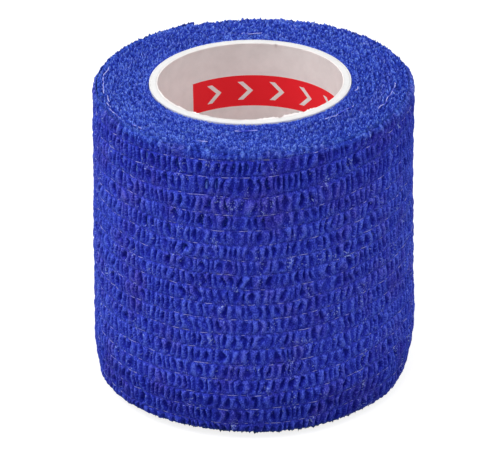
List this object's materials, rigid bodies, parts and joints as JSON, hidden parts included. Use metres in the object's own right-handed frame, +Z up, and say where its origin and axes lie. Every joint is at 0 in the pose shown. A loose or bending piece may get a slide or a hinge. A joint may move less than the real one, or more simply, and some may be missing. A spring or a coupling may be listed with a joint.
{
  "type": "hand wrap",
  "caption": "Roll of self-adherent elastic crepe wrap wound on a hollow paper core, with a free end that peels off the roll.",
  "frame": {"origin": "centre of the core's lower end, on the surface the roll stands on", "axes": "+Z up along the core's bore; +Y away from the front; the free end lies towards the back left"},
  "size_m": [0.0512, 0.0506, 0.051],
  "materials": {
    "liner_paper": "smooth white paper with a red printed band",
    "pressed_board": "cut edge of pressed board",
    "cover_paper": "matt white paper",
    "fixing_tape": "thin double-sided tissue tape",
    "wound_crepe": "crinkled nonwoven with a dull latex bond",
    "crepe_web": "crinkled nonwoven with a dull latex bond",
    "elastic_yarn": "fine pale elastic yarn"
  },
  "bodies": {
    "roll": {"core_liner": "liner_paper", "core_board": "pressed_board", "core_cover": "cover_paper", "start_tape": "fixing_tape", "wound_strip": "wound_crepe"},
    "tail_1": {"tail_1_outer_web": "crepe_web", "tail_1_yarns": "elastic_yarn", "tail_1_inner_web": "crepe_web"},
    "tail_2": {"tail_2_outer_web": "crepe_web", "tail_2_yarns": "elastic_yarn", "tail_2_inner_web": "crepe_web"},
    "tail_3": {"tail_3_outer_web": "crepe_web", "tail_3_yarns": "elastic_yarn", "tail_3_inner_web": "crepe_web"},
    "tail_4": {"tail_4_outer_web": "crepe_web", "tail_4_yarns": "elastic_yarn", "tail_4_inner_web": "crepe_web"},
    "tail_5": {"tail_5_outer_web": "crepe_web", "tail_5_yarns": "elastic_yarn", "tail_5_inner_web": "crepe_web"}
  },
  "joints": [
    {"name": "tail_peel", "type": "hinge", "parent": "roll", "child": "tail_1", "pos_m": [-0.02579, -0.00071, 0.0255], "axis": [0, 0, 1], "range_deg": [0, 70]},
    {"name": "tail_bend_2", "type": "hinge", "parent": "tail_1", "child": "tail_2", "pos_m": [-0.02524, 0.00553, 0.0255], "axis": [0, 0, 1], "range_deg": [0, 14]},
    {"name": "tail_bend_3", "type": "hinge", "parent": "tail_2", "child": "tail_3", "pos_m": [-0.0232, 0.01146, 0.0255], "axis": [0, 0, 1], "range_deg": [0, 14]},
    {"name": "tail_bend_4", "type": "hinge", "parent": "tail_3", "child": "tail_4", "pos_m": [-0.01978, 0.01672, 0.0255], "axis": [0, 0, 1], "range_deg": [0, 14]},
    {"name": "tail_bend_5", "type": "hinge", "parent": "tail_4", "child": "tail_5", "pos_m": [-0.0152, 0.021, 0.0255], "axis": [0, 0, 1], "range_deg": [0, 14]}
  ],
  "couplings": [
    {"joint": "tail_bend_2", "follows": "tail_peel", "ratio": 0.2},
    {"joint": "tail_bend_3", "follows": "tail_peel", "ratio": 0.2},
    {"joint": "tail_bend_4", "follows": "tail_peel", "ratio": 0.2},
    {"joint": "tail_bend_5", "follows": "tail_peel", "ratio": 0.2}
  ]
}
